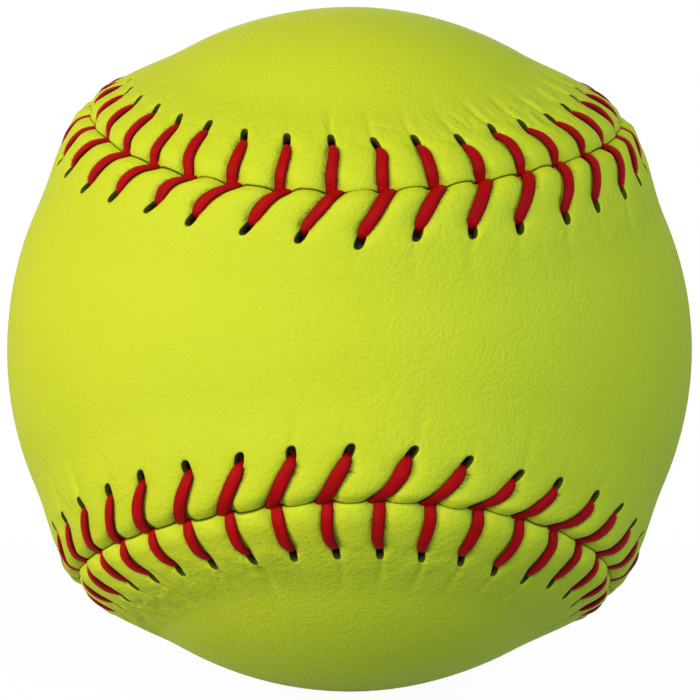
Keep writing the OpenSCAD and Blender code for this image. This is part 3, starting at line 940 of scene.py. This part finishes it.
def polyurethane_foam_skin(tree, colour):
    """Moulded polyurethane foam: a dull closed skin with fine pits and pale blotches."""
    place = add_node(tree, "TexCoord").outputs["Object"]
    pits = add_node(tree, "TexVoronoi", {"Vector": place, "Scale": 1 / (0.8 * MM)})
    blotch = add_node(tree, "TexNoise", {"Vector": place, "Scale": 1 / (6 * MM)})
    base = add_node(tree, "Mix", {SHARE: blotch, BELOW: colour, ABOVE: linear("#C9B583")},
                    data_type="RGBA").outputs[MIXED]
    bump = add_node(tree, "Bump", {"Height": pits, "Strength": 0.4, "Distance": 0.1 * MM})
    return add_node(tree, "BsdfPrincipled", {"Base Color": base, "Normal": bump, "Roughness": 0.8})


def dried_latex_cement(tree, colour):
    """Dried latex cement: a thin rubbery film with brush streaks and a slight gloss."""
    place = add_node(tree, "TexCoord").outputs["Object"]
    brushed = add_node(tree, "Mapping", {
        "Vector": place, "Scale": (1 / (0.7 * MM), 1 / (0.7 * MM), 1 / (8 * MM))})
    streaks = add_node(tree, "TexNoise", {"Vector": brushed, "Scale": 1, "Detail": 3})
    base = add_node(tree, "Mix", {SHARE: streaks, BELOW: colour, ABOVE: linear("#C7BE7C")},
                    data_type="RGBA").outputs[MIXED]
    bump = add_node(tree, "Bump", {"Height": streaks, "Strength": 0.4, "Distance": 0.1 * MM})
    return add_node(tree, "BsdfPrincipled", {"Base Color": base, "Normal": bump, "Roughness": 0.45})


def studio_floor(tree):
    """Matt white board. Camera, glossy and transmission rays see it white, less a share near
    the object that keeps its shadow and fades out to nothing by half a metre away."""
    board = add_node(tree, "BsdfPrincipled", {
        "Base Color": linear("#A8BCDC"), "Roughness": 0.9, "Specular IOR Level": 0.1})
    place = add_node(tree, "TexCoord").outputs["Object"]
    away = add_node(tree, "VectorMath", {0: place}, operation="LENGTH")
    lit = add_node(tree, "MapRange", {
        "Value": away.outputs["Value"], "From Min": 0.1, "From Max": 0.5, "To Min": 0.9,
        "To Max": 1}, interpolation_type="SMOOTHSTEP")
    glow_level = add_node(tree, "MapRange", {
        "Value": lit, "From Min": 0.9, "From Max": 1, "To Min": 1.07, "To Max": 1})
    white_share = add_node(tree, "Math", {0: shown_rays(tree), 1: lit}, operation="MULTIPLY")
    glow = add_node(tree, "Emission", {"Color": (1, 1, 1, 1), "Strength": glow_level})
    return add_node(tree, "MixShader", {0: white_share, 1: board, 2: glow})


# Operators

def plan(context):
    """The lacing that the scene's sizes give."""
    return Lacing(Seam(context.scene.softball_sizes), context.scene.softball_thread)


class SOFTBALL_OT_core(bpy.types.Operator):
    """Gives the foam core and its cement coat their materials"""
    bl_idname = "softball.core"
    bl_label = "Core and Cement"

    def execute(self, context):
        colours = context.scene.softball_colours
        for node, recipe, colour in (("core", polyurethane_foam_skin, colours.core),
                                     ("cement_coat", dried_latex_cement, colours.cement)):
            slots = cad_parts[node].data.materials
            slots.clear()
            slots.append(new_material(recipe, colour))
        return {"FINISHED"}


class SOFTBALL_OT_cover(bpy.types.Operator):
    """Builds the two peanut-shaped cover panels with their raised, stitched edges"""
    bl_idname = "softball.cover"
    bl_label = "Cover Panels"

    def execute(self, context):
        leather = new_material(optic_yellow_synthetic_leather,
                               context.scene.softball_colours.cover)
        for side, name, node in ((1, "front_leather_panel", "front_cover_panel"),
                                 (-1, "back_leather_panel", "back_cover_panel")):
            make_piece(name, PanelNet(plan(context), side), leather, "cover", node)
        return {"FINISHED"}


class SOFTBALL_OT_thread(bpy.types.Operator):
    """Laces the two thread strands round the seam"""
    bl_idname = "softball.thread"
    bl_label = "Thread"

    def execute(self, context):
        waxed = new_material(red_waxed_thread, context.scene.softball_colours.thread)
        for number, name, node in ((0, "first_waxed_strand", "first_thread_strand"),
                                   (1, "second_waxed_strand", "second_thread_strand")):
            make_piece(name, Strand(plan(context), number), waxed, "thread", node)
        return {"FINISHED"}


class SOFTBALL_OT_fuzz(bpy.types.Operator):
    """Adds the loose fibres along the stitches"""
    bl_idname = "softball.fuzz"
    bl_label = "Loose Fibres"

    def execute(self, context):
        frayed = new_material(frayed_thread_fibre, context.scene.softball_colours.thread)
        make_piece("loose_thread_fibres", Fuzz(plan(context)), frayed, "thread")
        return {"FINISHED"}


class SOFTBALL_OT_studio(bpy.types.Operator):
    """Sets the white floor, the soft lamps and the camera"""
    bl_idname = "softball.studio"
    bl_label = "Studio"

    floor_half_w = 1.5
    lamp_away, lamp_w = 0.9, 0.5
    # Each lamp's bearing from the camera's side, height in degrees, watts and colour
    lamps = (
        ("key", -55, 13, 3.65, "#FFEAFF"),
        ("low", -60, 1, 1.9, "#FAFAF4"),
        ("front", -5, 26, 3.95, "#FCFFEA"),
        ("side", 60, 16, 3.5, "#8CACFF"),
        ("back", 180, 15, 2.5, "#FFFFFF"),
    )
    # The photograph's view: its distance in radii of the ball, how far the middle of its
    # 700 pixels is off the ball's, and how the ball is turned in it, in degrees. The film's
    # width and the lens are in millimetres
    view_radii, view_pixels, view_shift = 5.4, 700, (0.8, -0.8)
    film_w, lens, nearest = 36, 93.45, 10 * MM
    view_turns = (0.92, "Z"), (0.62, "Y"), (-0.38, "X")

    def execute(self, context):
        scene = context.scene
        radius = scene.softball_sizes.circumference / TAU
        self.add_floor(scene, radius)
        self.add_lamps(scene)
        self.add_background(scene)
        self.add_camera(scene, radius)
        scene.view_settings.view_transform = "Standard"
        return {"FINISHED"}

    def add_floor(self, scene, radius):
        """A square board that the ball lies on."""
        half_w = self.floor_half_w
        corners = [(x * half_w, y * half_w, -radius)
                   for x, y in ((-1, -1), (1, -1), (1, 1), (-1, 1))]
        mesh = bpy.data.meshes.new("floor")
        mesh.from_pydata(corners, [], [(0, 1, 2, 3)])
        mesh.materials.append(new_material(studio_floor))
        floor = bpy.data.objects.new("floor", mesh)
        scene.collection.objects.link(floor)

    def add_lamps(self, scene):
        """Soft round lamps on a sphere round the ball, each turned to its middle."""
        for name, bearing, rise, power, colour in self.lamps:
            light = bpy.data.lights.new(name, "AREA")
            light.color = linear(colour)[:3]
            light.shape = "DISK"
            light.size = self.lamp_w
            light.energy = power
            lamp = bpy.data.objects.new(name, light)
            around, up = math.radians(bearing), math.radians(rise)
            spot = self.lamp_away * Vector((math.sin(around) * math.cos(up),
                                            -math.cos(around) * math.cos(up), math.sin(up)))
            lamp.location = spot
            lamp.rotation_euler = (-spot).to_track_quat("-Z", "Y").to_euler()
            scene.collection.objects.link(lamp)

    def add_background(self, scene):
        """Dim bluish light from all round, behind which the camera sees white."""
        world = bpy.data.worlds.new("studio")
        scene.world = world
        world.use_nodes = True
        tree = world.node_tree
        tree.nodes.clear()
        ambient = add_node(tree, "Background", {"Color": linear("#B4C8FF"), "Strength": 0.13})
        white = add_node(tree, "Background", {"Color": (1, 1, 1, 1), "Strength": 1})
        mixed = add_node(tree, "MixShader", {0: shown_rays(tree), 1: ambient, 2: white})
        add_node(tree, "OutputWorld", {"Surface": mixed})

    def add_camera(self, scene, radius):
        """The photograph's camera: level on -Y, then turned about the ball."""
        camera = bpy.data.cameras.new("camera")
        camera.sensor_width = self.film_w
        camera.lens = self.lens
        camera.shift_x, camera.shift_y = (shift / self.view_pixels for shift in self.view_shift)
        camera.clip_start = self.nearest
        eye = bpy.data.objects.new("camera", camera)
        turn = Matrix.Identity(3)
        for degrees, axis in self.view_turns:
            turn = turn @ Matrix.Rotation(math.radians(degrees), 3, axis)
        level = Euler((math.pi / 2, 0, 0)).to_matrix().to_4x4()
        stand = Matrix.Translation((0, -self.view_radii * radius, 0)) @ level
        eye.matrix_world = turn.transposed().to_4x4() @ stand
        scene.collection.objects.link(eye)
        scene.camera = eye


class SOFTBALL_PT_sidebar(bpy.types.Panel):
    """The softball's sizes, colours and steps"""
    bl_idname = "SOFTBALL_PT_sidebar"
    bl_label = "Laced Softball"
    bl_space_type = "VIEW_3D"
    bl_region_type = "UI"
    bl_category = "Softball"

    def draw(self, context):
        scene = context.scene
        for group in (scene.softball_sizes, scene.softball_thread, scene.softball_colours):
            column = self.layout.column(align=True)
            for name in group.bl_rna.properties.keys():
                if name not in ("rna_type", "name"):
                    column.prop(group, name)
        for operator in OPERATORS:
            self.layout.operator(operator.bl_idname)


GROUPS = {"softball_sizes": SoftballSizes, "softball_thread": SoftballThread,
          "softball_colours": SoftballColours}
OPERATORS = (SOFTBALL_OT_core, SOFTBALL_OT_cover, SOFTBALL_OT_thread, SOFTBALL_OT_fuzz,
             SOFTBALL_OT_studio)
CLASSES = (*GROUPS.values(), *OPERATORS, SOFTBALL_PT_sidebar)


def register():
    for item in CLASSES:
        bpy.utils.register_class(item)
    for name, group in GROUPS.items():
        setattr(bpy.types.Scene, name, PointerProperty(type=group))


def unregister():
    for name in GROUPS:
        delattr(bpy.types.Scene, name)
    for item in reversed(CLASSES):
        bpy.utils.unregister_class(item)


def main():
    register()
    bpy.ops.softball.core()
    bpy.ops.softball.cover()
    bpy.ops.softball.thread()
    bpy.ops.softball.fuzz()
    bpy.ops.softball.studio()


if __name__ == "__main__":
    main()
